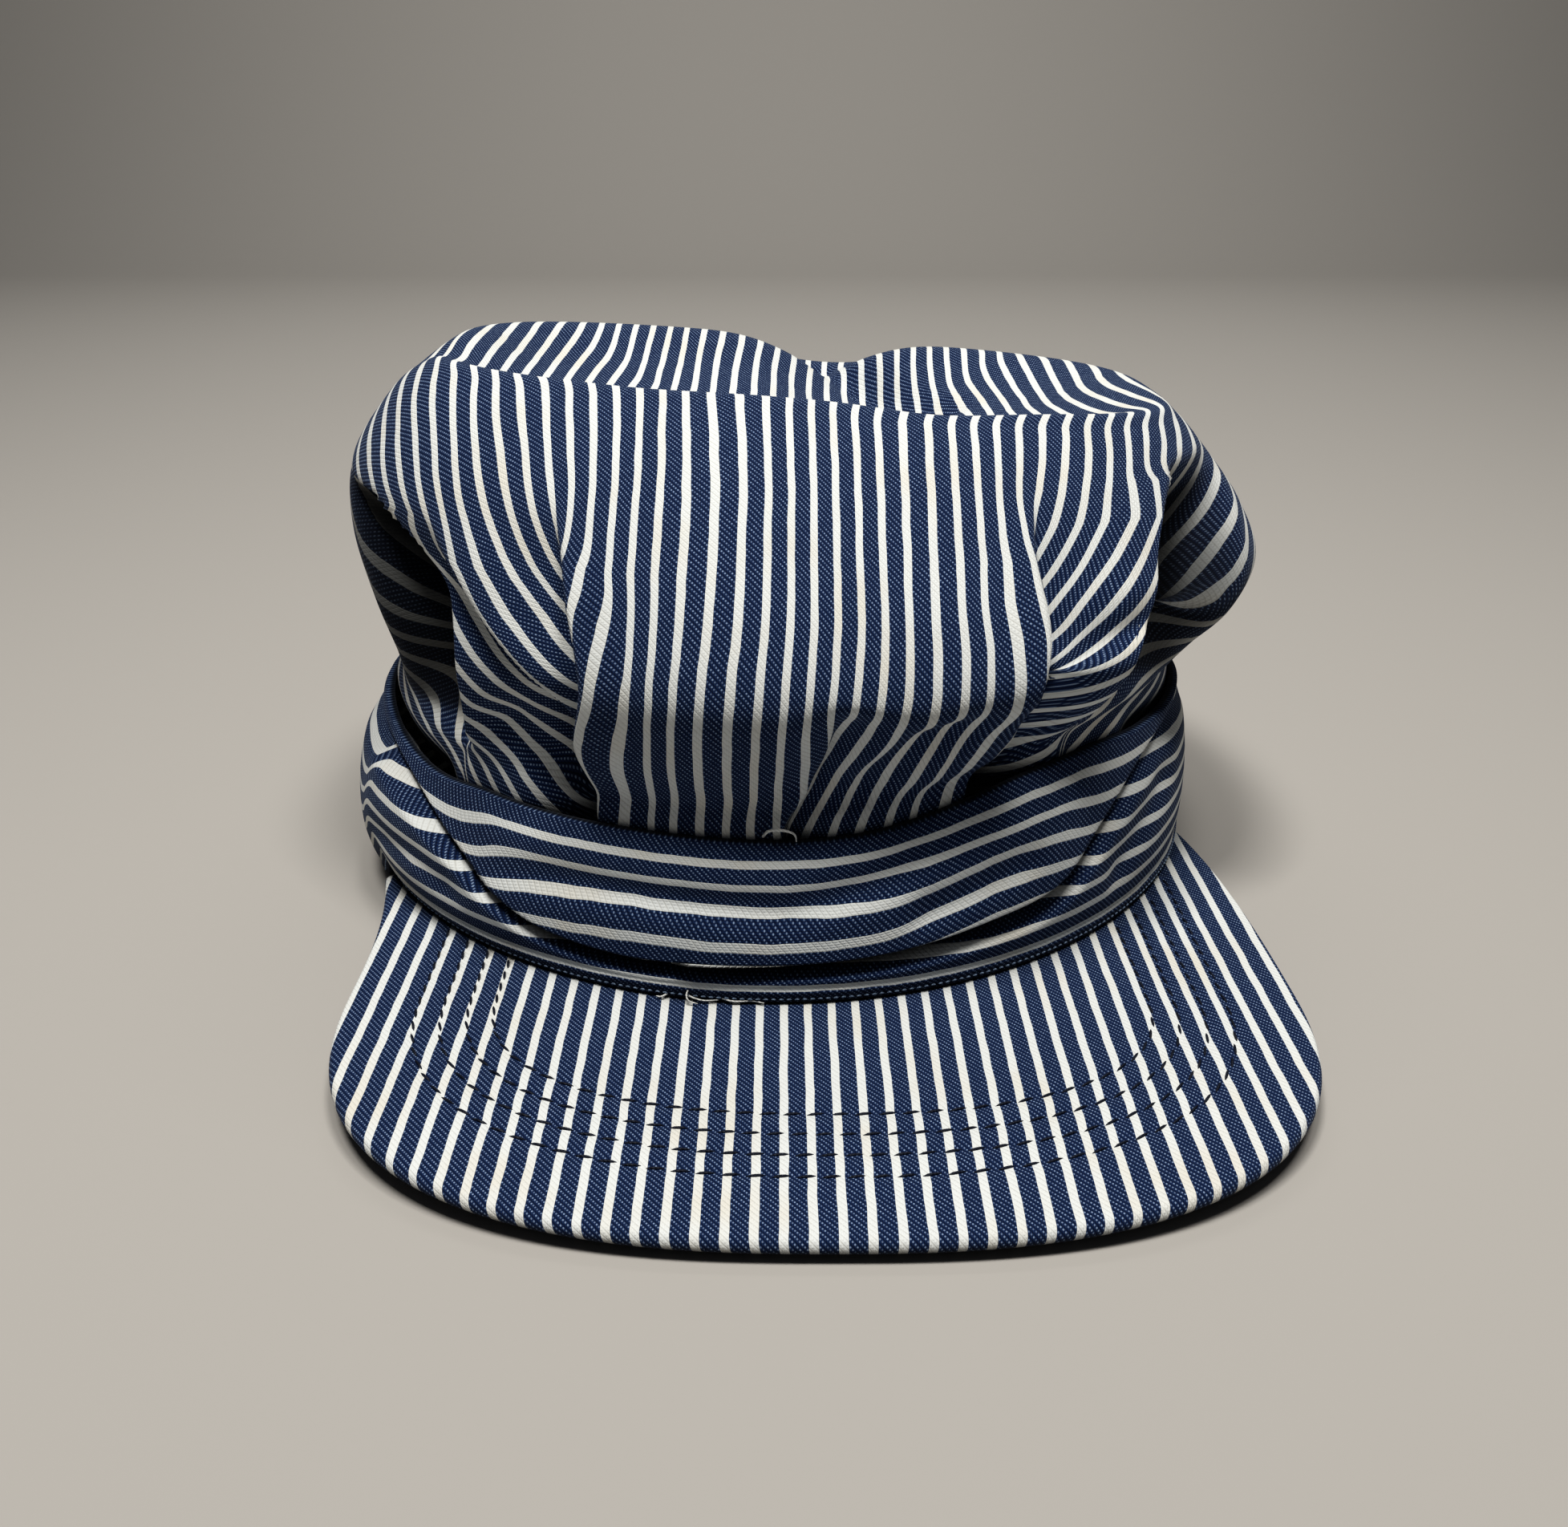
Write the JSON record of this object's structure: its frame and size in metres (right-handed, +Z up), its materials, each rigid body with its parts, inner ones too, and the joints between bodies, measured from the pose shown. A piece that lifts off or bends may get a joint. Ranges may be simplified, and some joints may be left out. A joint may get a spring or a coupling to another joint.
{
  "type": "railroad engineer cap",
  "caption": "Soft striped engineer cap with a full pleated crown, a crumpled band and a stiff stitched brim.",
  "frame": {"origin": "on the table under the middle of the whole cap's bounding box", "axes": "+Z up out of the table the cap lies on, -Y towards the front of the brim, +X towards the wearer's left"},
  "size_m": [0.212, 0.2514, 0.1192],
  "materials": {
    "crown_cloth": "matte cotton twill, navy with narrow off-white stripes",
    "band_cloth": "matte cotton twill, stripes running round the head",
    "brim_cloth": "matte cotton twill over a stiff core, stripes running front to back"
  },
  "bodies": {
    "root": {"crown": "crown_cloth", "band": "band_cloth", "brim": "brim_cloth"}
  },
  "joints": []
}
